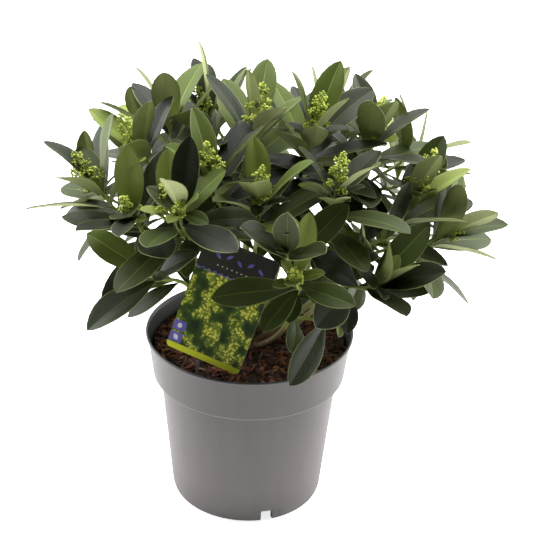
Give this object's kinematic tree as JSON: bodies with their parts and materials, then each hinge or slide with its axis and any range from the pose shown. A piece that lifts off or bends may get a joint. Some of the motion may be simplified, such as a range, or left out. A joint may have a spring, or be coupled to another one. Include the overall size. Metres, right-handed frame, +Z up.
{
  "type": "potted skimmia shrub",
  "caption": "Evergreen skimmia shrub in bud, with rosettes of leathery leaves and upright yellow-green bud panicles, in a round grey nursery pot with a plant label.",
  "frame": {"origin": "centre of the pot's flat underside, on the surface that the pot stands on", "axes": "+Z up along the pot's axis, -Y towards the viewer on the side with the plant label, +X to that viewer's right"},
  "size_m": [0.4813, 0.3886, 0.4783],
  "materials": {
    "grey_plastic": "satin",
    "bark_chips": "rough",
    "printed_card": "gloss",
    "clear_plastic": "gloss",
    "bark": "rough",
    "foliage": "satin"
  },
  "bodies": {
    "root": {"pot": "grey_plastic", "bark_mulch": "bark_chips", "plant_label": "printed_card", "label_stake": "clear_plastic", "stump": "bark", "bough_left": "bark", "bough_left_top": "bark", "bough_left_front": "bark", "bough_left_low": "bark", "bough_front_left": "bark", "bough_front": "bark", "bough_front_right": "bark", "bough_front_low": "bark", "bough_top": "bark", "bough_top_right": "bark", "bough_right_top": "bark", "bough_right_front": "bark", "bough_right": "bark", "bough_right_low": "bark", "bough_rim_right": "bark", "bough_back_left": "bark", "bough_back": "bark", "bough_back_right": "bark", "bough_back_low": "bark", "bough_right_back_low": "bark", "foliage_left": "foliage", "foliage_left_top": "foliage", "foliage_left_front": "foliage", "foliage_left_low": "foliage", "foliage_front_left": "foliage", "foliage_front": "foliage", "foliage_front_right": "foliage", "foliage_front_low": "foliage", "foliage_top": "foliage", "foliage_top_right": "foliage", "foliage_right_top": "foliage", "foliage_right_front": "foliage", "foliage_right": "foliage", "foliage_right_low": "foliage", "foliage_rim_right": "foliage", "foliage_back_left": "foliage", "foliage_back": "foliage", "foliage_back_right": "foliage", "foliage_back_low": "foliage", "foliage_right_back_low": "foliage"}
  },
  "joints": []
}
